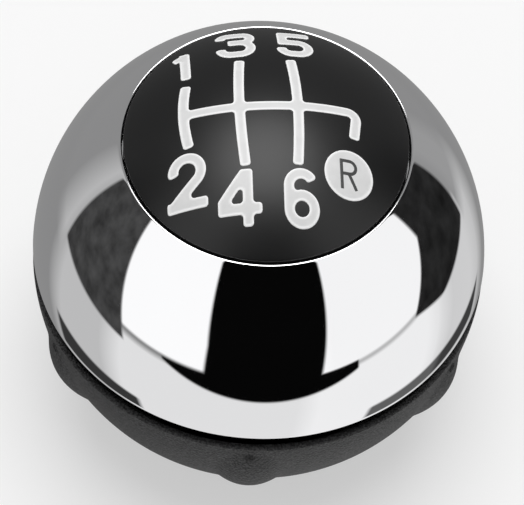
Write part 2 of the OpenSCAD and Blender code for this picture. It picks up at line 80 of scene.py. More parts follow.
def angle(name, description, degrees):
    """A property for an angle, given in degrees and kept in radians."""
    return FloatProperty(name=name, description=description, default=math.radians(degrees),
                         subtype="ANGLE")


def colour(name, description, value):
    """A property for a linear colour."""
    return FloatVectorProperty(name=name, description=description, default=value, subtype="COLOR",
                               min=0, max=1)


def box_radius(node):
    """Half the width of a round CAD node."""
    low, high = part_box(node)
    return (high.x - low.x) / 2


class KnobSizes(bpy.types.PropertyGroup):
    """Sizes of the knob that the looks depend on."""

    centre_h: length("Equator Height", "Height of the ball's equator over the foot", 22)
    ball_stretch: length("Ball Stretch", "How far past the axis the ball's arc is struck", 2)
    ball_r: length("Ball Radius", "Radius of the ball at its equator", 26)
    shell_wall: length("Shell Wall", "Wall of the plated shell", 1.8)
    shell_edge_round: length("Shell Edge Round", "Radius of the plated shell's rolled lower edge", 0.5)
    lip_round: length("Lip Round", "Radius of the plated lip round the cap", 0.22)
    opening_gap: length("Cap Gap", "Gap round the cap in the plated shell", 0.15)
    ledge_t: length("Ledge Thickness", "Thickness of the ledge under the cap", 1)
    ledge_in_r: length("Ledge Radius", "Inner radius of the ledge under the cap", 14.2)
    cap_sink: length("Cap Sink", "How far the dome's edge lies under the shell's surface", 0.1)
    cap_t: length("Cap Thickness", "Thickness of the domed cap", 2.4)
    cap_edge_h: length("Cap Edge", "Depth of the cap's edge", 2.2)
    cap_rim_w: length("Cap Rim", "Width of the cap's rim", 1.4)
    cap_edge_round: length("Cap Edge Round", "Radius of the cap's upper edge", 0.3)
    hooks: IntProperty(name="Snap Hooks", description="Number of snap hooks under the cap", default=3, min=1)
    hook_arc: angle("Hook Arc", "Arc of a snap hook", 40)
    hook_r: length("Hook Radius", "Outer radius of the hooks' arms", 13.8)
    hook_t: length("Hook Thickness", "Thickness of a hook's arm", 1.3)
    hook_reach: length("Hook Reach", "How far a hook's nose stands out of its arm", 0.7)
    hook_nose_h: length("Nose Height", "Height of a hook's nose", 1.1)
    hook_clear: length("Hook Clearance", "Height of the hooks over the weight", 0.35)
    hold_ring_r: length("Ring Radius", "Inner radius of the ring under the cap", 10)
    hold_ring_t: length("Ring Thickness", "Thickness of the ring under the cap", 1.4)
    inlay_depth: length("Inlay Depth", "Depth of the inlays under the dome", 0.8)
    inlay_proud: length("Inlay Height", "How far the inlays stand proud of the dome", 0.08)
    inlay_edge_round: length("Inlay Edge Round", "Radius of the inlays' upper edges", 0.1)
    # Width of the band round an inlay's face that takes the painted highlight colour
    inlay_rim: length("Inlay Rim", "Width of the brighter rim round an inlay's face", 0.22)
    inlay_hollow: length("Inlay Hollow", "Depth of the face inside that rim", 0.015)
    inlay_corner_round: length("Inlay Corner Round", "Radius of the inlays' corners in plan", 0.34)
    base_wall: length("Base Wall", "Wall of the lower half", 2)
    base_rim_t: length("Base Rim", "Wall of the lower half's thin upper rim", 0.8)
    base_rim_round: length("Base Rim Round", "Radius of the upper rim's edges", 0.2)
    rim_depth: length("Rim Depth", "Height of the thin upper rim", 2.7)
    floor_t: length("Floor Thickness", "Thickness of the lower half's floor", 2.4)
    foot_r: length("Foot Radius", "Radius of the foot", 16.2)
    mouth_r: length("Mouth Radius", "Radius of the lever's hole in the floor", 6.6)
    lobes: IntProperty(name="Lobes", description="Number of raised lobes", default=6, min=1)
    lobe_turn: angle("Lobe Turn", "Turn of the lobes about the lever", -95)
    lobe_at: angle("Lobe Latitude", "Angle below the equator of a lobe's middle", 18)
    lobe_proud: length("Lobe Height", "How far a lobe stands out of the ball", 1.12)
    lobe_crest_r: length("Lobe Crest", "Radius of a lobe's rounded crest", 4.9)
    lobe_arch_out: length("Lobe Arch", "How far out the arch of a lobe's crest is centred", 15.9)
    lobe_fillet: length("Lobe Fillet", "Softness of the line where a lobe meets the ball", 0.16)
    dimple_at: angle("Dimple Latitude", "Angle below the equator of the dimples", 4.5)
    dimple_r: length("Dimple Radius", "Radius of the tool that leaves a dimple", 0.72)
    dimple_depth: length("Dimple Depth", "Depth of a dimple", 0.3)
    screw_turn: angle("Screw Turn", "Turn of the screws about the lever", 90)
    screw_circle_r: length("Screw Circle", "Radius of the circle of screws", 12.4)
    recess_depth: length("Screw Recess", "Depth of the recess for a screw's head", 4.6)
    boss_r: length("Boss Radius", "Radius of the lower half's screw bosses", 3.3)
    boss_top: length("Boss Height", "Height at which the two halves' bosses meet", 9)
    screw_r: length("Screw Radius", "Radius of a screw's thread", 1.45)
    screw_l: length("Screw Length", "Length of a screw under its head", 11)
    head_r: length("Screw Head Radius", "Radius of a screw's head", 2.45)
    head_h: length("Screw Head Height", "Height of a screw's head", 1.8)
    screw_ridge: length("Screw Ridge", "Height of a screw's thread", 0.3)
    screw_pitch: length("Screw Pitch", "Pitch of a screw's thread", 1.1)
    screw_gap: length("Screw Gap", "Radial gap round a screw and its head", 0.15)
    slot_w: length("Slot Width", "Width of the cross slot", 0.6)
    slot_l: length("Slot Length", "Length of the cross slot", 2.8)
    slot_depth: length("Slot Depth", "Depth of the cross slot", 1)
    waist_h: length("Insert Waist", "Height of the insert's waist", 3)
    waist_depth: length("Waist Depth", "Depth of the insert's waist", 0.8)
    thread_r: length("Lever Thread Radius", "Outer radius of the lever's thread", 5)
    thread_crest_r: length("Thread Crest Radius", "Radius of the insert's hole at the thread's crests", 4.25)
    thread_pitch: length("Thread Pitch", "Pitch of the lever's thread", 1.5)
    shank_hole_r: length("Sleeve Hole", "Radius of the rubber sleeve's hole", 6.1)
    floor_size: length("Floor Size", "Width of the studio floor", 6000)
    floor_lift: FloatProperty(name="Floor Lift", default=0.5, min=0, max=1,
                              description="Share of plain white that the camera sees on the floor")
    ambient: FloatProperty(name="Ambient", description="Brightness of the room", default=0.35, min=0)
    camera_yaw: angle("Camera Azimuth", "Turn of the camera about the knob from the pattern's near side", 6.45)
    camera_up: angle("Camera Elevation", "Height of the camera over the horizontal", 56.6)
    camera_roll: angle("Camera Roll", "Turn of the camera about its own axis", 4.2)
    camera_distance: length("Camera Distance", "Distance from the camera to the ball's middle", 312)
    lamp_size: length("Lamp Size", "Width of the overhead soft light", 850)
    lamp_distance: length("Lamp Distance", "Distance from the overhead light to the knob", 1000)
    lamp_lean: angle("Lamp Lean", "Angle of the overhead light from upright, away from the camera", 10)
    lamp_power: FloatProperty(name="Lamp Power", description="Power of the overhead light", default=7.8,
                              unit="POWER", min=0)


class KnobColours(bpy.types.PropertyGroup):
    """Colours of the knob's finishes."""

    plating: colour("Plating", "Bright chrome", (0.86, 0.86, 0.87))
    cap: colour("Cap", "Satin black plastic", (0.0036, 0.0036, 0.0038))
    inlay: colour("Inlay", "Silver-white inlay", (0.71, 0.71, 0.71))
    # Painted highlight: the paler colour of the band round an inlay's face, standing in for the light that its
    # edges catch
    inlay_rim: colour("Inlay Rim", "Rim round an inlay's face", (0.97, 0.97, 0.97))
    letter: colour("Letter", "Dark reverse letter", (0.05, 0.05, 0.05))
    base: colour("Base", "Grained black plastic", (0.03, 0.03, 0.0305))
    core: colour("Core", "Glossy black plastic", (0.02, 0.02, 0.021))
    brass: colour("Brass", "Turned brass", (0.72, 0.5, 0.2))
    steel: colour("Steel", "Turned steel", (0.5, 0.5, 0.52))
    zinc: colour("Zinc", "Zinc plated screws", (0.62, 0.63, 0.66))
    rubber: colour("Rubber", "Black rubber", (0.018, 0.018, 0.018))
    foam: colour("Foam", "Dark foam", (0.02, 0.02, 0.022))
    floor: colour("Floor", "Pale studio floor", (0.9, 0.9, 0.9))


class Field:
    """A socket of a node tree. Arithmetic on it adds Math nodes."""

    def __init__(self, graph, socket):
        self.graph = graph
        self.socket = socket

    def math(self, operation, *others):
        """The result of a Math node on this field and others."""
        inputs = dict(enumerate((self,) + others))
        return self.graph.node("ShaderNodeMath", {"operation": operation}, inputs).out(0)

    def __add__(self, other):
        return self.math("ADD", other)

    def __sub__(self, other):
        return self.math("SUBTRACT", other)

    def __rsub__(self, other):
        return (self * -1).math("ADD", other)

    def __mul__(self, other):
        return self.math("MULTIPLY", other)

    def __truediv__(self, other):
        return self.math("DIVIDE", other)

    def __rtruediv__(self, other):
        return self.math("POWER", -1) * other

    __radd__ = __add__
    __rmul__ = __mul__

    def squared(self):
        return self.math("MULTIPLY", self)

    def rise(self, at, soft):
        """0 below a limit and 1 above it, over a soft width."""
        return self.graph.node("ShaderNodeClamp", {}, {0: (self - at) / soft + 0.5}).out(0)

    def root(self):
        return self.math("SQRT")


class Made:
    """A node that was added, with its outputs as fields."""

    def __init__(self, graph, node):
        self.graph = graph
        self.node = node

    def out(self, key):
        return Field(self.graph, self.node.outputs[key])


class Graph:
    """A shader or geometry tree that nodes are added to."""

    def __init__(self, tree):
        self.tree = tree

    def node(self, kind, settings=None, inputs=None):
        """Adds a node. Its settings are set first, then its sockets get values or links."""
        node = self.tree.nodes.new(kind)
        for key, value in (settings or {}).items():
            setattr(node, key, value)
        for key, value in (inputs or {}).items():
            if isinstance(value, Field):
                self.tree.links.new(value.socket, node.inputs[key])
            else:
                node.inputs[key].default_value = value
        return Made(self, node)

    def split(self, vector):
        """The x, y and z of a vector field."""
        parts = self.node("ShaderNodeSeparateXYZ", {}, {0: vector})
        return parts.out(0), parts.out(1), parts.out(2)


def new_material(name, constants):
    """A Principled material with constants on its own sockets, and its graph, shader and coordinates."""
    material = bpy.data.materials.new(name)
    material.use_nodes = True
    material.node_tree.nodes.clear()
    graph = Graph(material.node_tree)
    shader = graph.node("ShaderNodeBsdfPrincipled", {}, constants)
    graph.node("ShaderNodeOutputMaterial", {}, {"Surface": shader.out(0)})
    place = graph.node("ShaderNodeTexCoord").out("Object")
    return material, graph, shader, place


def connect(graph, shader, links):
    """Feeds fields into a shader's sockets."""
    for key, field in links.items():
        graph.tree.links.new(field.socket, shader.node.inputs[key])


def noise(graph, place, scale, detail=3):
    """A noise field from 0 to 1, with its scale in features a metre."""
    return graph.node("ShaderNodeTexNoise", {}, {"Vector": place, "Scale": scale, "Detail": detail}).out(0)


def bump(graph, height, distance):
    """A normal from a height field, with the height of 1 in metres."""
    return graph.node("ShaderNodeBump", {}, {"Height": height, "Distance": distance}).out(0)


def tinted(graph, shade, value, spread):
    """A colour that a field from 0 to 1 makes darker or lighter by a share."""
    dark = tuple(c * (1 - spread) for c in value) + (1,)
    light = tuple(min(1, c * (1 + spread)) for c in value) + (1,)
    mix = graph.node("ShaderNodeMix", {"data_type": "RGBA"}, {0: shade, 6: dark, 7: light})
    return mix.out(2)


def clouded(name, constants, value, scale, spread, roughness, detail=3, relief=None, depth=0.0):
    """A finish whose colour and roughness (lowest, swing) follow one soft noise, with an optional relief."""
    material, graph, shader, place = new_material(name, constants)
    cloud = noise(graph, place, scale, detail)
    lowest, swing = roughness
    connect(graph, shader, {"Base Color": tinted(graph, cloud, value, spread),
                            "Roughness": cloud * swing + lowest})
    if relief:
        connect(graph, shader, {"Normal": bump(graph, relief(graph, place, cloud), depth)})
    return material


def plating_finish(colours):
    """Bright chrome, with a faint haze where hands have wiped it."""
    return clouded("plating", {"Metallic": 1.0}, colours.plating, 60, 0.015, (0.012, 0.03), 2)


def cap_finish(colours):
    """Satin black plastic with a very fine moulded texture."""
    return clouded("cap_black", {"IOR": 1.46}, colours.cap, 120, 0.12, (0.36, 0.06), 2,
                   lambda graph, place, cloud: noise(graph, place, 9000, 2), 4e-6)


def inlay_finish(colours):
    """Silver-white inlay with a soft pearly mottle, and a painted highlight: a paler colour on the band round
    each face.
    """
    material, graph, shader, place = new_material("inlay", {"IOR": 1.45})
    mottle = noise(graph, place, 900)
    rim = graph.node("ShaderNodeAttribute", {"attribute_name": "rim"}).out("Fac")
    # Painted highlight: the band round each face is mixed towards the paler rim colour
    shade = graph.node("ShaderNodeMix", {"data_type": "RGBA"}, {
        0: rim, 6: tinted(graph, mottle, colours.inlay, 0.08), 7: tuple(colours.inlay_rim) + (1,)}).out(2)
    connect(graph, shader, {"Base Color": shade,
                            "Roughness": mottle * 0.12 + 0.42,
                            "Normal": bump(graph, mottle, 1.2e-5)})
    return material


def letter_finish(colours):
    """Dark enamel of the reverse letter."""
    return clouded("letter", {}, colours.letter, 1500, 0.2, (0.4, 0.1))


def grained_finish(colours):
    """Black plastic with a fine pebbled grain, its colour mottled at random and painted paler on the grain's
    crests as a highlight.
    """
    material, graph, shader, place = new_material("grained_black", {"IOR": 1.36})
    warp = graph.node("ShaderNodeTexNoise", {}, {"Vector": place, "Scale": 2200, "Detail": 2})
    bent = graph.node("ShaderNodeVectorMath", {"operation": "MULTIPLY_ADD"},
                      {0: warp.out(1), 1: (2e-4, 2e-4, 2e-4), 2: place}).out(0)
    cells = graph.node("ShaderNodeTexVoronoi", {"feature": "SMOOTH_F1"},
                       {"Vector": bent, "Scale": 3300, "Smoothness": 0.6}).out(0)
    grit = noise(graph, place, 4500, 2)
    height = (1 - cells) * 0.8 + grit * 0.3
    cloud = noise(graph, place, 160, 2)
    # Random tone from the cloud, plus a painted highlight: the colour runs paler where the grit that raises
    # the crests is high
    tone_and_crest_highlight = cloud * 0.2 + grit.rise(0.5, 0.2) * 0.8
    connect(graph, shader, {"Base Color": tinted(graph, tone_and_crest_highlight, colours.base, 0.9),
                            "Roughness": cloud * 0.12 + 0.5,
                            "Normal": bump(graph, height, 1.4e-4)})
    return material


def gloss_black_finish(colours):
    """Glossy black plastic of the core."""
    return clouded("core_black", {}, colours.core, 200, 0.2, (0.22, 0.1))


def tool_rings(graph, place, cloud):
    """The height of the fine rings that a turning tool leaves."""
    return graph.node("ShaderNodeTexWave", {"bands_direction": "Z"},
                      {"Vector": place, "Scale": 1200, "Distortion": 1.5, "Detail": 2}).out(1)


def turned_finish(name, value, roughness):
    """Turned metal, with fine rings left by the tool."""
    return clouded(name, {"Metallic": 1.0}, value, 300, 0.1, (roughness, 0.12), 3, tool_rings, 3e-6)


def soft_finish(name, value, scale, depth):
    """Matt rubber or foam with a fine open texture."""
    return clouded(name, {"IOR": 1.4}, value, scale, 0.3, (0.7, 0.15), 4,
                   lambda graph, place, cloud: cloud, depth)


def ball_point(sizes, inset, degrees_up):
    """A point (r, z) of the ball's section, inset deep, at an angle above the equator."""
    a = math.radians(degrees_up)
    r = sizes.ball_r + sizes.ball_stretch - inset
    return r * math.cos(a) - sizes.ball_stretch, sizes.centre_h + r * math.sin(a)


def ball_angle(sizes, inset, z=None, r=None):
    """The angle above the equator, in degrees, at which the ball's section has a height or a radius."""
    arc_r = sizes.ball_r + sizes.ball_stretch - inset
    if z is not None:
        return math.degrees(math.asin((z - sizes.centre_h) / arc_r))
    return math.degrees(math.acos((r + sizes.ball_stretch) / arc_r))


def ball_arc(sizes, inset, start, end, steps, trim=0.0):
    """Points of the ball's section between two angles, kept a trim off both ends."""
    arc_r = sizes.ball_r + sizes.ball_stretch - inset
    turn = math.copysign(math.degrees(trim / arc_r), end - start)
    first, last = start + turn, end - turn
    turns = [first + (last - first) * i / steps for i in range(steps + 1)]
    return [ball_point(sizes, inset, at) + (0,) for at in turns]


def dome(sizes):
    """Height of the centre and radius of the cap's dome, which meets the ball's surface smoothly."""
    cap_r = box_radius("cap")
    arc_r = sizes.ball_r + sizes.ball_stretch - sizes.cap_sink
    edge = math.acos((cap_r + sizes.ball_stretch) / arc_r)
    dome_r = cap_r / math.cos(edge)
    return sizes.centre_h + (arc_r - dome_r) * math.sin(edge), dome_r


def rounded(corners, steps=6):
    """A closed outline from corners (r, z, radius), each with an arc of its radius."""
    outline = []
    for i, (r, z, radius) in enumerate(corners):
        here = Vector((r, z))
        if radius == 0:
            outline.append(here)
            continue
        back = (Vector(corners[i - 1][:2]) - here).normalized()
        ahead = (Vector(corners[(i + 1) % len(corners)][:2]) - here).normalized()
        half = back.angle(ahead) / 2
        centre = here + (back + ahead).normalized() * radius / math.sin(half)
        first = here + back * radius / math.tan(half) - centre
        last = here + ahead * radius / math.tan(half) - centre
        start = math.atan2(first.y, first.x)
        turn = math.atan2(first.x * last.y - first.y * last.x, first.dot(last))
        for k in range(steps + 1):
            a = start + turn * k / steps
            outline.append(centre + radius * Vector((math.cos(a), math.sin(a))))
    return outline


def lathe(bm, outline, segments, start=0.0, sweep=math.tau):
    """Adds an outline in (r, z), turned about Z, to a mesh. A part turn gets flat ends."""
    whole = sweep >= math.tau
    rings = segments if whole else segments + 1
    rows = []
    for j in range(rings):
        a = start + sweep * j / segments
        rows.append([bm.verts.new((p.x * math.cos(a), p.x * math.sin(a), p.y)) for p in outline])
    count = len(outline)
    for j in range(segments):
        near, far = rows[j], rows[(j + 1) % rings]
        for i in range(count):
            k = (i + 1) % count
            if outline[i].x < 1e-7 and outline[k].x < 1e-7:
                continue
            bm.faces.new((near[i], far[i], far[k], near[k]))
    if not whole:
        bm.faces.new(rows[0])
        bm.faces.new(reversed(rows[-1]))


def smooth(mesh, sharp=SHARP_ANGLE):
    """Shades a mesh smooth but for its sharp edges."""
    mesh.shade_smooth()
    mesh.set_sharp_from_angle(angle=math.radians(sharp))


def piece(name, bm, material, sharp=SHARP_ANGLE):
    """A finished object from a mesh in the making, smooth but for its sharp edges."""
    bmesh.ops.remove_doubles(bm, verts=bm.verts, dist=1e-8)
    bmesh.ops.dissolve_degenerate(bm, edges=bm.edges, dist=1e-8)
    mesh = bpy.data.meshes.new(name)
    bm.to_mesh(mesh)
    bm.free()
    smooth(mesh, sharp)
    mesh.materials.append(material)
    made = bpy.data.objects.new(name, mesh)
    bpy.context.scene.collection.objects.link(made)
    return made


def turned(name, corners, steps, material, arc_steps=6, start=0.0, sweep=math.tau):
    """A piece turned about Z from the corners (r, z, radius) of its section."""
    bm = bmesh.new()
    lathe(bm, rounded(corners, arc_steps), steps, start, sweep)
    return piece(name, bm, material)


def settle(made):
    """Turns an object with modifiers into a plain mesh and takes the modifiers off."""
    graph = bpy.context.evaluated_depsgraph_get()
    mesh = bpy.data.meshes.new_from_object(made.evaluated_get(graph))
    made.modifiers.clear()
    made.data = mesh
    return made


def stand_for(made, slot, *nodes):
    """Hands a finished piece to the frame in place of CAD nodes."""
    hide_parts(*nodes)
    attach(made, "root")
    return made


def geometry_tree(name, inputs):
    """A Geometry Nodes tree with named inputs and their defaults, as a graph and its group input."""
    tree = bpy.data.node_groups.new(name, "GeometryNodeTree")
    tree.interface.new_socket("Geometry", in_out="INPUT", socket_type="NodeSocketGeometry")
    tree.interface.new_socket("Geometry", in_out="OUTPUT", socket_type="NodeSocketGeometry")
    for label, default in inputs.items():
        kind = "NodeSocketInt" if isinstance(default, int) else "NodeSocketFloat"
        tree.interface.new_socket(label, in_out="INPUT", socket_type=kind).default_value = default
    tree.interface.new_socket("Material", in_out="INPUT", socket_type="NodeSocketMaterial")
    graph = Graph(tree)
    return graph, graph.node("NodeGroupInput")


def end_tree(graph, geometry, source):
    """Ends a tree in Realize Instances and Set Material."""
    real = graph.node("GeometryNodeRealizeInstances", {}, {0: geometry}).out(0)
    done = graph.node("GeometryNodeSetMaterial", {}, {"Geometry": real, "Material": source.out("Material")})
    graph.node("NodeGroupOutput", {}, {0: done.out(0)})
    return graph.tree


def use_tree(made, tree, values):
    """Runs a Geometry Nodes tree on an object, with its inputs set by their sockets' identifiers."""
    modifier = made.modifiers.new(tree.name, "NODES")
    modifier.node_group = tree
    values = {**values, "Material": made.data.materials[0]}
    for item in tree.interface.items_tree:
        if item.in_out == "INPUT" and item.name in values:
            modifier[item.identifier] = values[item.name]
    return settle(made)


def ring_tree():
    """Copies of a mesh in a ring about Z, the mesh drawn on the +X side."""
    graph, source = geometry_tree("Copies In A Ring", {"Count": 3, "Turn": 0.0})
    points = graph.node("GeometryNodePoints", {}, {"Count": source.out("Count")}).out(0)
    index = graph.node("GeometryNodeInputIndex").out(0)
    turn = index / source.out("Count") * math.tau
    spin = graph.node("ShaderNodeCombineXYZ", {}, {2: turn + source.out("Turn")}).out(0)
    copies = graph.node("GeometryNodeInstanceOnPoints", {},
                        {"Points": points, "Instance": source.out("Geometry"), "Rotation": spin}).out(0)
    return end_tree(graph, copies, source)


def thread_tree():
    """A helical ridge about Z, added to the mesh that it is run on."""
    graph, source = geometry_tree("Thread", {
        "Radius": 0.005, "Ridge": 0.00075, "Pitch": 0.0015, "Length": 0.02, "Bottom": 0.0})
    turns = source.out("Length") / source.out("Pitch")
    spiral = graph.node("GeometryNodeCurveSpiral", {}, {
        "Resolution": 48, "Rotations": turns, "Start Radius": source.out("Radius"),
        "End Radius": source.out("Radius"), "Height": source.out("Length")}).out(0)
    upright = graph.node("GeometryNodeSetCurveNormal", {"mode": "Z_UP"}, {"Curve": spiral}).out(0)
    section = graph.node("GeometryNodeCurvePrimitiveCircle", {}, {
        "Resolution": 4, "Radius": source.out("Ridge")}).out(0)
    ridge = graph.node("GeometryNodeCurveToMesh", {}, {
        "Curve": upright, "Profile Curve": section, "Fill Caps": True}).out(0)
    lift = graph.node("ShaderNodeCombineXYZ", {}, {2: source.out("Bottom")}).out(0)
    placed = graph.node("GeometryNodeTransform", {}, {"Geometry": ridge, "Translation": lift}).out(0)
    joined = graph.node("GeometryNodeJoinGeometry")
    graph.tree.links.new(placed.socket, joined.node.inputs[0])
    graph.tree.links.new(source.out("Geometry").socket, joined.node.inputs[0])
    return end_tree(graph, joined.out(0), source)


def lobe_tree():
    """Raises rounded lobes out of the ball's surface, evenly round the equator."""
    graph, source = geometry_tree("Raised Lobes", {
        "Lobes": 6, "Turn": 0.0, "Middle": 0.3, "Height": 0.001, "Crest": 0.005, "Arch": 0.016,
        "Fillet": 0.0002, "Ball": 0.026, "Stretch": 0.002, "Equator": 0.022})
    x, y, z = graph.split(graph.node("GeometryNodeInputPosition").out(0))
    out = (x.squared() + y.squared()).root()
    arm = out + source.out("Stretch")
    up = z - source.out("Equator")
    reach = (arm.squared() + up.squared()).root()
    arc_r = source.out("Ball") + source.out("Stretch")

    # Where a point lies beside its nearest lobe: across it, and along the meridian from its middle
    step = math.tau / source.out("Lobes")
    turned = y.math("ARCTAN2", x) - source.out("Turn") + step * 0.5
    beside = turned.math("FLOORED_MODULO", step) - step * 0.5
    across = beside.math("SINE") * out
    below = (up * -1).math("ARCTAN2", arm) - source.out("Middle")

    arch = source.out("Arch")
    crest_r = arc_r + source.out("Height") - arch
    rise = (crest_r.squared() - (below.math("SINE") * arch).squared()).math("MAXIMUM", 0).root()
    crest = below.math("COSINE") * arch + rise - arc_r
    flank = across.squared() * (0.5 / source.out("Crest") - 0.5 / arc_r)
    height = crest - flank
    fillet = source.out("Fillet")
    soft = ((height.squared() + fillet.squared()).root() + height) * 0.5
    # What the softening adds on the crest comes off again, and only the outer surface grows
    soft = (soft - fillet * 0.08).math("MAXIMUM", 0)
    outside = reach.math("GREATER_THAN", arc_r - 2e-6)
    grow = soft * outside * beside.math("ABSOLUTE").math("LESS_THAN", step * 0.4)
    share = grow / reach
    move = graph.node("ShaderNodeCombineXYZ", {}, {
        0: x / out * arm * share, 1: y / out * arm * share, 2: up * share}).out(0)
    moved = graph.node("GeometryNodeSetPosition", {}, {
        "Geometry": source.out("Geometry"), "Offset": move}).out(0)
    return end_tree(graph, moved, source)


def carve(made, other, operation):
    """Joins another solid to a piece, or cuts it out, and deletes the other."""
    cut = made.modifiers.new("carve", "BOOLEAN")
    cut.operation = operation
    cut.solver = "EXACT"
    cut.object = other
    settle(made)
    bpy.data.objects.remove(other)
    return made


class MakeShell(bpy.types.Operator):
    """Makes the plated upper shell, with its rolled lower edge and the lip round the cap"""

    bl_idname = "knob.make_shell"
    bl_label = "Plated Shell"

    def execute(self, context):
        s = context.scene.knob_sizes
        low_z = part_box("chrome_shell")[0].z
        opening = box_radius("cap") + s.opening_gap
        ledge_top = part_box("cap_gasket")[0].z
        ledge_low = ledge_top - s.ledge_t
        edge_a, opening_a = ball_angle(s, 0, z=low_z), ball_angle(s, 0, r=opening)
        edge_r, lip_z = ball_point(s, 0, edge_a)[0], ball_point(s, 0, opening_a)[1]
        outer_steps, inner_steps = ARC_STEPS["shell"]
        trim = 0.7 * MM
        outer = ball_arc(s, 0, edge_a, opening_a, outer_steps, trim)
        inner = ball_arc(s, s.shell_wall, ball_angle(s, s.shell_wall, z=ledge_low),
                         ball_angle(s, s.shell_wall, z=low_z), inner_steps)
        corners = [(edge_r, low_z, s.shell_edge_round)] + outer + [
            (opening, lip_z, s.lip_round), (opening, ledge_top, 0), (s.ledge_in_r, ledge_top, 0),
            (s.ledge_in_r, ledge_low, 0)] + inner
        plating = plating_finish(context.scene.knob_colours)
        shell = turned("plated_shell", corners, TURN_STEPS["shell"], plating)
        stand_for(shell, "plating", "chrome_shell")
        return {"FINISHED"}


class MakeCap(bpy.types.Operator):
    """Makes the domed cap, with its rounded edge, the ring under it and its snap hooks"""

    bl_idname = "knob.make_cap"
    bl_label = "Domed Cap"

    def execute(self, context):
        s = context.scene.knob_sizes
        cap_r = box_radius("cap")
        centre_z, dome_r = dome(s)
        inner_r = dome_r - s.cap_t
        edge_z = centre_z + math.sqrt(dome_r**2 - cap_r**2)
        bottom = edge_z - s.cap_edge_h
        rim_in = cap_r - s.cap_rim_w
        hold_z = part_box("damping_pad")[1].z
        ring_out = s.hold_ring_r + s.hold_ring_t

        top_steps, under_steps, side_steps = ARC_STEPS["cap"]
        trim = 0.5 * MM

        def dome_points(radius, first_r, last_r, steps):
            places = [first_r + (last_r - first_r) * i / steps for i in range(steps + 1)]
            return [(r, centre_z + math.sqrt(radius**2 - r**2), 0) for r in places]

        corners = [(rim_in, bottom, 0), (cap_r, bottom, 0), (cap_r, edge_z, s.cap_edge_round)]
        corners += dome_points(dome_r, cap_r - trim, 0, top_steps)
        corners += dome_points(inner_r, 0, s.hold_ring_r, under_steps)
        corners += [(s.hold_ring_r, hold_z, 0), (ring_out, hold_z, 0)]
        corners += dome_points(inner_r, ring_out, rim_in, side_steps)
        material = cap_finish(context.scene.knob_colours)
        made = turned("domed_cap", corners, TURN_STEPS["cap"], material)
        hooks_top = centre_z + math.sqrt((inner_r + s.cap_t / 2)**2 - s.hook_r**2)
        carve(made, self.hooks(s, hooks_top, material), "UNION")
        smooth(made.data)
        stand_for(made, "cap_black", "cap")
        return {"FINISHED"}

    def hooks(self, s, top, material):
        """The snap hooks that hold the cap under the core's deck, up to a height inside the dome."""
        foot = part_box("weight")[1].z + s.hook_clear
        arm_in, nose_out = s.hook_r - s.hook_t, s.hook_r + s.hook_reach
        nose_top = foot + s.hook_nose_h
        lead_in, catch_round = 0.3 * MM, 0.1 * MM
        corners = [(arm_in, foot, 0), (nose_out, foot, lead_in), (nose_out, nose_top, catch_round),
                   (s.hook_r, nose_top, 0), (s.hook_r, top, 0), (arm_in, top, 0)]
        made = turned("hooks", corners, TURN_STEPS["hook"], material, start=-s.hook_arc / 2, sweep=s.hook_arc)
        return use_tree(made, ring_tree(), {"Count": s.hooks})


def plan_loops(node, dome_z, crown_r):
    """The outline of an inlay's top face in plan, as closed loops of points, from its CAD node."""
    bm = bmesh.new()
    bm.from_mesh(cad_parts[node].data)
    bmesh.ops.remove_doubles(bm, verts=bm.verts, dist=1e-7)
    middle = Vector((0, 0, dome_z))
    top = {f for f in bm.faces if all(abs((v.co - middle).length - crown_r) < 4e-6 for v in f.verts)}
    ahead = {}
    for f in top:
        for loop in f.loops:
            if not any(other in top for other in loop.edge.link_faces if other is not f):
                ahead[loop.vert.index] = loop.link_loop_next.vert.index
    bm.verts.ensure_lookup_table()
    places = [v.co.copy() for v in bm.verts]
    bm.free()
    loops = []
    while ahead:
        start, here = ahead.popitem()
        loop = [start]
        while here != start:
            loop.append(here)
            here = ahead.pop(here)
        loops.append([places[i].xy for i in loop])
    return loops


def soften(loop, radius, steps=4):
    """A plan outline whose sharp corners are rounded, where their neighbours leave room.

    A rounding takes at most 0.42 of the way to the next sharp corner. The points that it passes are dropped.
    """
    turns = []
    for i, here in enumerate(loop):
        back, ahead = loop[i - 1] - here, loop[(i + 1) % len(loop)] - here
        turns.append(math.pi - back.angle(ahead))
    sharp = [i for i in range(len(loop)) if turns[i] > math.radians(30)]
    reach = {}
    for k, i in enumerate(sharp):
        near = min((loop[i] - loop[j]).length for j in (sharp[k - 1], sharp[(k + 1) % len(sharp)]))
        reach[i] = min(radius * math.tan(turns[i] / 2), 0.42 * near)
    corners = []
    for i, here in enumerate(loop):
        if i in reach:
            corners.append((here.x, here.y, reach[i] / math.tan(turns[i] / 2)))
        elif all((here - loop[j]).length > 1.15 * reach[j] for j in sharp):
            corners.append((here.x, here.y, 0))
    return rounded(corners, steps)


def outline_tree(loops, step=0.05 * MM):
    """A search tree of points along plan outlines."""
    points = []
    for loop in loops:
        for i, here in enumerate(loop):
            count = int((here - loop[i - 1]).length / step) + 1
            points += [loop[i - 1].lerp(here, k / count) for k in range(count)]
    tree = KDTree(len(points))
    for i, p in enumerate(points):
        tree.insert((p.x, p.y, 0), i)
    tree.balance()
    return tree


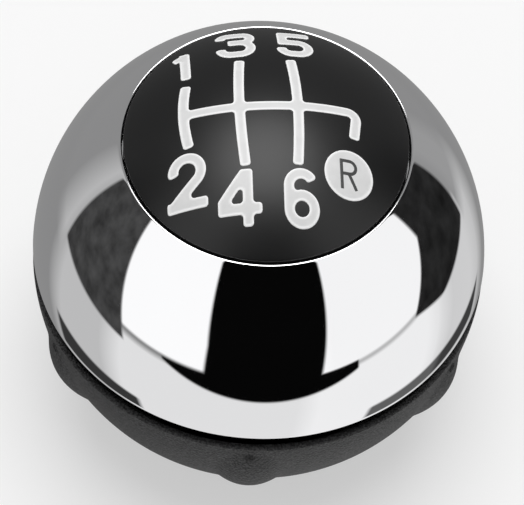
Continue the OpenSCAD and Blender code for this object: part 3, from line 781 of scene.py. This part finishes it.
def filled(name, loops, half, edge):
    """A plate between plan outlines, half its thickness up and down, with rounded edges."""
    curve = bpy.data.curves.new(name, "CURVE")
    curve.dimensions = "2D"
    curve.fill_mode = "BOTH"
    curve.extrude = half - edge
    curve.bevel_depth = edge
    curve.bevel_resolution = 2
    curve.offset = -edge
    for points in loops:
        spline = curve.splines.new("POLY")
        spline.points.add(len(points) - 1)
        for i, p in enumerate(points):
            spline.points[i].co = (p.x, p.y, 0, 1)
        spline.use_cyclic_u = True
    drawn = bpy.data.objects.new(name, curve)
    bpy.context.scene.collection.objects.link(drawn)
    graph = bpy.context.evaluated_depsgraph_get()
    flat = bpy.data.meshes.new_from_object(drawn.evaluated_get(graph))
    bpy.data.objects.remove(drawn)
    bm = bmesh.new()
    bm.from_mesh(flat)
    bmesh.ops.remove_doubles(bm, verts=bm.verts, dist=1e-7)
    return bm


def cut_grid(bm, step):
    """Cuts a mesh along a grid in plan, so that it can be bent."""
    bmesh.ops.triangulate(bm, faces=bm.faces)
    for axis in (0, 1):
        low = min(v.co[axis] for v in bm.verts)
        high = max(v.co[axis] for v in bm.verts)
        normal = Vector((axis == 0, axis == 1, 0))
        for k in range(1, int((high - low) / step) + 1):
            parts = bm.verts[:] + bm.edges[:] + bm.faces[:]
            bmesh.ops.bisect_plane(bm, geom=parts, dist=1e-8, plane_co=normal * (low + k * step),
                                   plane_no=normal)


def make_inlay(name, node, sizes, material):
    """One inlay: its plan outline, filled and given rounded edges, then bent to the dome."""
    dome_z, dome_r = dome(sizes)
    depth, edge, corner = sizes.inlay_depth, sizes.inlay_edge_round, sizes.inlay_corner_round
    grid, letter_rise = 0.25 * MM, 0.02 * MM
    letter = node == "reverse_letter"
    if letter:
        depth, edge = depth / 2, edge / 3
        corner = edge
    half = (depth + sizes.inlay_proud) / 2
    loops = plan_loops(node, dome_z, dome_r + sizes.inlay_proud)
    if node == "reverse_disc":
        loops = [max(loops, key=lambda loop: max(p.y for p in loop) - min(p.y for p in loop))]
    loops = [soften(loop, corner) for loop in loops]
    bm = filled(name, loops, half, edge)
    cut_grid(bm, grid)
    tree = outline_tree(loops)
    # The band round each face: a mask for the painted highlight colour; the face inside it is hollowed
    rim = bm.verts.layers.float.new("rim")
    for v in bm.verts:
        level = v.co.z - half + sizes.inlay_proud
        inward = tree.find((v.co.x, v.co.y, 0))[2] - edge
        v[rim] = max(0, min(1, 1 - inward / sizes.inlay_rim))
        if letter:
            level += letter_rise
        elif v.co.z > half - 1e-7:
            level -= sizes.inlay_hollow * (1 - v[rim])
        v.co.z = dome_z + math.sqrt((dome_r + level)**2 - v.co.x**2 - v.co.y**2)
    made = piece(name, bm, material, 50)
    made.modifiers.new("even", "WEIGHTED_NORMAL").keep_sharp = True
    return settle(made)


class MakeInlays(bpy.types.Operator):
    """Makes the inlays of the shift pattern: gate, numerals, reverse disc and its letter"""

    bl_idname = "knob.make_inlays"
    bl_label = "Shift Pattern"

    def execute(self, context):
        s = context.scene.knob_sizes
        silver = inlay_finish(context.scene.knob_colours)
        dark = letter_finish(context.scene.knob_colours)
        for node in INLAYS:
            letter = node == "reverse_letter"
            made = make_inlay(node + "_inlay", node, s, dark if letter else silver)
            stand_for(made, "letter" if letter else "inlay", node)
        return {"FINISHED"}


class MakeBase(bpy.types.Operator):
    """Makes the grained lower half: lobes, dimples, thin rim, foot, mouth, bosses and screw recesses"""

    bl_idname = "knob.make_base"
    bl_label = "Grained Base"

    def execute(self, context):
        s = context.scene.knob_sizes
        material = grained_finish(context.scene.knob_colours)
        edge_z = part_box("base")[1].z
        groove_z = edge_z - s.rim_depth
        rim_in = s.ball_r - s.base_rim_t
        foot_a = -ball_angle(s, 0, r=s.foot_r)
        edge_a = ball_angle(s, 0, z=edge_z)
        outer_steps, inner_steps = ARC_STEPS["base"]
        foot_round, trim = 0.3 * MM, 0.35 * MM
        outer = ball_arc(s, 0, foot_a, edge_a, outer_steps, trim)
        edge_r = ball_point(s, 0, edge_a)[0]
        foot_top = ball_point(s, 0, foot_a)[1]
        inner = ball_arc(s, s.base_wall, ball_angle(s, s.base_wall, z=groove_z),
                         ball_angle(s, s.base_wall, z=s.floor_t), inner_steps)
        round_r = s.base_rim_round
        corners = [(s.mouth_r, 0, foot_round), (s.foot_r, 0, foot_round), (s.foot_r, foot_top, 0)] + outer
        corners += [(edge_r, edge_z, round_r), (rim_in, edge_z, round_r), (rim_in, groove_z, 0)] + inner
        corners += [(s.mouth_r, s.floor_t, 0)]
        base = turned("grained_base", corners, TURN_STEPS["base"], material, arc_steps=5)
        use_tree(base, lobe_tree(), {
            "Lobes": s.lobes, "Turn": s.lobe_turn, "Middle": s.lobe_at, "Height": s.lobe_proud,
            "Crest": s.lobe_crest_r, "Arch": s.lobe_arch_out, "Fillet": s.lobe_fillet, "Ball": s.ball_r,
            "Stretch": s.ball_stretch, "Equator": s.centre_h})
        for name, radius, low, high, operation in (
                ("bosses", s.boss_r, s.floor_t / 2, s.boss_top, "UNION"),
                ("recesses", s.head_r + s.screw_gap, -MM, s.recess_depth, "DIFFERENCE"),
                ("holes", s.screw_r + s.screw_gap, 0, s.boss_top + MM, "DIFFERENCE")):
            carve(base, by_the_screws(name, radius, low, high, s, material), operation)
        carve(base, dimples(s, material), "DIFFERENCE")
        smooth(base.data)
        stand_for(base, "grained_black", "base")
        return {"FINISHED"}


def by_the_screws(name, radius, low, high, sizes, material):
    """Plain cylinders, one on the axis of each screw."""
    corners = [(0, low, 0), (radius, low, 0), (radius, high, 0), (0, high, 0)]
    made = turned(name, corners, TURN_STEPS["boss"], material)
    made.data.transform(Matrix.Translation((sizes.screw_circle_r, 0, 0)))
    return use_tree(made, ring_tree(), {"Count": len(SCREWS), "Turn": sizes.screw_turn})


def dimples(sizes, material):
    """The balls that leave a dimple on each lobe."""
    low, arch = sizes.dimple_at, sizes.lobe_arch_out
    off = low - sizes.lobe_at
    crest_r = sizes.ball_r + sizes.ball_stretch + sizes.lobe_proud - arch
    crest = arch * math.cos(off) + math.sqrt(crest_r**2 - (arch * math.sin(off))**2)
    out = crest + sizes.dimple_r - sizes.dimple_depth
    place = Vector((out * math.cos(low) - sizes.ball_stretch, 0, sizes.centre_h - out * math.sin(low)))
    bm = bmesh.new()
    bmesh.ops.create_icosphere(bm, subdivisions=4, radius=sizes.dimple_r, matrix=Matrix.Translation(place))
    made = piece("dimples", bm, material)
    return use_tree(made, ring_tree(), {"Count": sizes.lobes, "Turn": sizes.lobe_turn})


class MakeCore(bpy.types.Operator):
    """Gives the core a smooth copy of its CAD mesh in glossy black"""

    bl_idname = "knob.make_core"
    bl_label = "Core"

    def execute(self, context):
        bm = bmesh.new()
        bm.from_mesh(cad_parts["core"].data)
        core = piece("inner_core", bm, gloss_black_finish(context.scene.knob_colours), 30)
        stand_for(core, "core_black", "core")
        return {"FINISHED"}


class MakeLeverFittings(bpy.types.Operator):
    """Makes the threaded brass insert and the rubber sleeve below it"""

    bl_idname = "knob.make_lever_fittings"
    bl_label = "Insert And Sleeve"

    def execute(self, context):
        s = context.scene.knob_sizes
        colours = context.scene.knob_colours
        brass = turned_finish("insert_brass", colours.brass, 0.25)
        low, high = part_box("lever_insert")
        insert_r = box_radius("lever_insert")
        middle, waist_r = (low.z + high.z) / 2, insert_r - s.waist_depth
        waist_low, waist_high = middle - s.waist_h / 2, middle + s.waist_h / 2
        end_round = 0.3 * MM
        corners = [(s.thread_r, low.z, 0), (insert_r, low.z, end_round), (insert_r, waist_low, 0),
                   (waist_r, waist_low, 0), (waist_r, waist_high, 0), (insert_r, waist_high, 0),
                   (insert_r, high.z, end_round), (s.thread_r, high.z, 0)]
        insert = turned("lever_bush", corners, TURN_STEPS["fitting"], brass)
        run_out = s.thread_pitch * 0.55
        use_tree(insert, thread_tree(), {
            "Radius": s.thread_r, "Ridge": s.thread_r - s.thread_crest_r, "Pitch": s.thread_pitch,
            "Length": high.z - low.z - 2 * run_out, "Bottom": low.z + run_out})
        stand_for(insert, "insert_brass", "lever_insert")

        rubber = soft_finish("sleeve_rubber", colours.rubber, 3000, 2e-5)
        low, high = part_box("rubber_sleeve")
        sleeve_r = box_radius("rubber_sleeve")
        mouth_round = 0.4 * MM
        corners = [(s.shank_hole_r, low.z, mouth_round), (sleeve_r, low.z, end_round), (sleeve_r, high.z, 0),
                   (s.shank_hole_r, high.z, 0)]
        sleeve = turned("lever_sleeve", corners, TURN_STEPS["fitting"], rubber)
        stand_for(sleeve, "sleeve_rubber", "rubber_sleeve")
        return {"FINISHED"}


class MakeScrews(bpy.types.Operator):
    """Makes the three zinc-plated screws, with crossed slots and threads"""

    bl_idname = "knob.make_screws"
    bl_label = "Screws"

    def execute(self, context):
        s = context.scene.knob_sizes
        zinc = turned_finish("screw_steel", context.scene.knob_colours.zinc, 0.28)
        under = s.recess_depth
        face, end, core_r = under - s.head_h, under + s.screw_l, s.screw_r - s.screw_ridge
        head_round, tip_h, tip_r, run_out = 0.5 * MM, 1.2 * MM, 0.2 * MM, 0.6 * MM
        corners = [(0, face, 0), (s.head_r, face, head_round), (s.head_r, under, 0), (core_r, under, 0),
                   (core_r, end - tip_h, 0), (tip_r, end, 0), (0, end, 0)]
        screw = turned("base_screws", corners, TURN_STEPS["screw"], zinc)
        for turn in (0, math.pi / 2):
            bm = bmesh.new()
            bmesh.ops.create_cube(bm, size=1)
            bmesh.ops.scale(bm, verts=bm.verts, vec=(s.slot_l, s.slot_w, 2 * s.slot_depth))
            bmesh.ops.rotate(bm, verts=bm.verts, matrix=Matrix.Rotation(turn, 3, "Z"))
            bmesh.ops.translate(bm, verts=bm.verts, vec=(0, 0, face))
            carve(screw, piece("slot", bm, zinc), "DIFFERENCE")
        use_tree(screw, thread_tree(), {
            "Radius": core_r, "Ridge": s.screw_ridge, "Pitch": s.screw_pitch,
            "Length": s.screw_l - run_out - tip_h - tip_r, "Bottom": under + run_out})
        screw.data.transform(Matrix.Translation((s.screw_circle_r, 0, 0)))
        use_tree(screw, ring_tree(), {"Count": len(SCREWS), "Turn": s.screw_turn})
        smooth(screw.data)
        stand_for(screw, "screw_steel", *SCREWS)
        return {"FINISHED"}


class DressHidden(bpy.types.Operator):
    """Gives the hidden CAD nodes their finishes: weight, damping pad and cap gasket"""

    bl_idname = "knob.dress_hidden"
    bl_label = "Hidden Pieces"

    def execute(self, context):
        colours = context.scene.knob_colours
        steel = turned_finish("weight_steel", colours.steel, 0.35)
        foam = soft_finish("foam", colours.foam, 2500, 4e-5)
        for node, material in (("weight", steel), ("damping_pad", foam), ("cap_gasket", foam)):
            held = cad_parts[node]
            held.data.materials.clear()
            held.data.materials.append(material)
        return {"FINISHED"}


def clear_world(name):
    """A new world with an empty tree, and its graph."""
    world = bpy.data.worlds.new(name)
    bpy.context.scene.world = world
    world.use_nodes = True
    world.node_tree.nodes.clear()
    return Graph(world.node_tree)


def between(value, low, high, soft):
    """1 where a field lies between two limits, with soft ends."""
    return value.rise(low, soft) * (1 - value.rise(high, soft))


def laid_over(under, mask, level):
    """A brightness with another one over it where a mask is 1."""
    return under + (level - under) * mask


def studio_glow(graph, camera_yaw):
    """What the studio shows to metal and gloss, by azimuth from the camera and elevation, in degrees."""
    around = graph.node("ShaderNodeTexCoord").out("Generated")
    x, y, z = graph.split(around)
    ahead = x * -math.sin(camera_yaw) + y * -math.cos(camera_yaw)
    aside = x * math.cos(camera_yaw) + y * -math.sin(camera_yaw)
    azimuth = aside.math("ARCTAN2", ahead) * DEGREES
    elevation = z.math("ARCSINE") * DEGREES
    mottle = noise(graph, around, 9)

    # Pale walls all round, brighter beside the left-hand card
    walls = between(azimuth, -114, -100, 14) * 0.24 + between(azimuth, 124, 140, 8) * 0.06 + 0.29
    # The table's white sheet
    sheet = between(azimuth, -105, 138, 14) * 0.29 + between(azimuth, -64, 96, 12) * 0.28 + 0.28
    sheet = sheet + between(azimuth, 26, 88, 10) * 0.13 + between(azimuth, 96, 126, 14) * 0.12
    glow = laid_over(walls, 1 - elevation.rise(-24, 8), sheet)
    near = between(azimuth, -103, 123, 2)
    glow = laid_over(glow, near * (1 - elevation.rise(-17, 3)), sheet)

    # Two white soft boxes, left and right
    left_edge = elevation * -0.38 - 64.5
    right_edge = 94 - (5 - elevation).math("MAXIMUM", 0) * 0.8
    boxes = between(azimuth, left_edge, 36, 2) * elevation.rise(-14, 1.5)
    boxes = boxes.math("MAXIMUM", between(azimuth, 30, right_edge, 2) * elevation.rise(-15.5, 2))
    glow = laid_over(glow, boxes, 1.12 - azimuth.rise(33, 6) * 0.08)

    # Dark cards beyond the soft boxes
    left_card = between(azimuth, -103, left_edge, 1.5) * elevation.rise(-20.5, 1.5)
    glow = laid_over(glow, left_card, mottle * 0.1 + 0.005)
    right_card = between(azimuth, right_edge, 122, 1.5) * elevation.rise(-24, 1.5)
    right_card = right_card * (azimuth * 0.4 + elevation).rise(13.8, 1.5)
    glow = laid_over(glow, right_card, mottle * 0.035 + 0.001)

    # The black card on the camera's side, with its curved foot
    foot = (azimuth - 8).squared() * 0.0053 - 27.4
    low_left = elevation.math("MAXIMUM", 0) * -0.1 - 19.3
    low_right = elevation * 0.165 + 33.5
    black = between(azimuth, low_left, low_right, 1.5)
    black = black.math("MAXIMUM", between(elevation, -40, -15, 1) * between(azimuth, -38, 47, 1))
    glow = laid_over(glow, black * (elevation - foot).rise(0, 1.5), 0.002)

    # Shade on the sheet close to the knob's foot
    strip = between(azimuth, -103, -51, 3) * (1 - (azimuth * 0.035 + elevation).rise(-49, 1.5))
    glow = laid_over(glow, strip * elevation.rise(-53, 1), 0.04)
    strip = between(azimuth, 58, 132, 3) * (1 - elevation.rise(-47, 1.5)) * elevation.rise(-53, 1)
    glow = laid_over(glow, strip, 0.13 - between(azimuth, 98, 140, 6) * 0.08)
    return glow


class MakeStage(bpy.types.Operator):
    """Makes the pale floor, the soft studio light and the camera"""

    bl_idname = "knob.make_stage"
    bl_label = "Studio"

    def execute(self, context):
        s = context.scene.knob_sizes
        material, graph, shader, place = new_material("studio_floor", {"Roughness": 1.0})
        cloud = noise(graph, place, 2)
        connect(graph, shader, {"Base Color": tinted(graph, cloud, context.scene.knob_colours.floor, 0.01)})
        white = graph.node("ShaderNodeEmission", {}, {"Color": (1, 1, 1, 1)})
        lift = graph.node("ShaderNodeLightPath").out("Is Camera Ray") * s.floor_lift
        seen = graph.node("ShaderNodeMixShader", {}, {0: lift, 1: shader.out(0), 2: white.out(0)})
        graph.tree.links.new(seen.out(0).socket, graph.tree.nodes["Material Output"].inputs["Surface"])
        bm = bmesh.new()
        bmesh.ops.create_grid(bm, x_segments=1, y_segments=1, size=s.floor_size / 2)
        # A hair under the foot, so that the two don't lie in one plane
        bmesh.ops.translate(bm, verts=bm.verts, vec=(0, 0, -0.02 * MM))
        floor = piece("studio_floor", bm, material)
        floor.visible_glossy = False

        graph = clear_world("studio")
        path = graph.node("ShaderNodeLightPath")
        open_air = path.out("Is Camera Ray").math("MAXIMUM", path.out("Is Transmission Ray"))
        glossy = path.out("Is Glossy Ray")
        level = laid_over(laid_over(s.ambient, glossy, studio_glow(graph, s.camera_yaw)), open_air, 1.0)
        sky = graph.node("ShaderNodeBackground", {}, {"Color": (1, 1, 1, 1), "Strength": level})
        graph.node("ShaderNodeOutputWorld", {}, {"Surface": sky.out(0)})

        lamp = bpy.data.lights.new("overhead", "AREA")
        lamp.shape = "DISK"
        lamp.size = s.lamp_size
        lamp.energy = s.lamp_power
        overhead = bpy.data.objects.new("overhead", lamp)
        lean = s.lamp_lean
        away = Vector((math.sin(s.camera_yaw), math.cos(s.camera_yaw), 0))
        overhead.location = Vector((0, 0, s.centre_h)) + s.lamp_distance * (
            away * math.sin(lean) + Vector((0, 0, math.cos(lean))))
        aim = Vector((0, 0, s.centre_h)) - overhead.location
        overhead.rotation_euler = aim.to_track_quat("-Z", "Y").to_euler()
        context.scene.collection.objects.link(overhead)

        make_camera(context)
        context.scene.view_settings.view_transform = "Standard"
        return {"FINISHED"}


def make_camera(context):
    """The camera at the photograph's angle: azimuth from -Y, elevation, roll and distance."""
    s = context.scene.knob_sizes
    yaw, up, roll = s.camera_yaw, s.camera_up, s.camera_roll
    back = Vector((-math.sin(yaw) * math.cos(up), -math.cos(yaw) * math.cos(up), math.sin(up)))
    right = Vector((math.cos(yaw), -math.sin(yaw), 0))
    above = back.cross(right)
    tilted_right = right * math.cos(roll) + above * math.sin(roll)
    tilted_up = above * math.cos(roll) - right * math.sin(roll)
    data = bpy.data.cameras.new("camera")
    data.sensor_width = 36
    data.lens = FOCAL_LENGTH_PX / PHOTO_W * data.sensor_width
    data.shift_x = (PHOTO_W / 2 - BALL_AT[0]) / PHOTO_W
    data.shift_y = (BALL_AT[1] - PHOTO_H / 2) / PHOTO_W
    data.clip_start, data.clip_end = 0.01, 20
    camera = bpy.data.objects.new("camera", data)
    turn = Matrix((tilted_right, tilted_up, back)).transposed().to_4x4()
    camera.matrix_world = Matrix.Translation(Vector((0, 0, s.centre_h)) + back * s.camera_distance) @ turn
    context.scene.collection.objects.link(camera)
    context.scene.camera = camera


OPERATORS = [MakeShell, MakeCap, MakeInlays, MakeBase, MakeCore, MakeLeverFittings, MakeScrews, DressHidden,
             MakeStage]


class KnobPanel(bpy.types.Panel):
    """Lists the knob's pieces in the 3D view's sidebar"""

    bl_idname = "VIEW3D_PT_shift_knob"
    bl_label = "Shift Knob"
    bl_space_type = "VIEW_3D"
    bl_region_type = "UI"
    bl_category = "Shift Knob"

    def draw(self, context):
        for operator in OPERATORS:
            self.layout.operator(operator.bl_idname)
        for group in (context.scene.knob_sizes, context.scene.knob_colours):
            for name in group.__annotations__:
                self.layout.prop(group, name)


CLASSES = [KnobSizes, KnobColours, *OPERATORS, KnobPanel]


def register():
    for c in CLASSES:
        bpy.utils.register_class(c)
    bpy.types.Scene.knob_sizes = PointerProperty(type=KnobSizes)
    bpy.types.Scene.knob_colours = PointerProperty(type=KnobColours)


def unregister():
    del bpy.types.Scene.knob_colours
    del bpy.types.Scene.knob_sizes
    for c in reversed(CLASSES):
        bpy.utils.unregister_class(c)


def main():
    """Registers the add-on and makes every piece."""
    register()
    for operator in OPERATORS:
        group, name = operator.bl_idname.split(".")
        getattr(getattr(bpy.ops, group), name)()


if __name__ == "__main__":
    main()
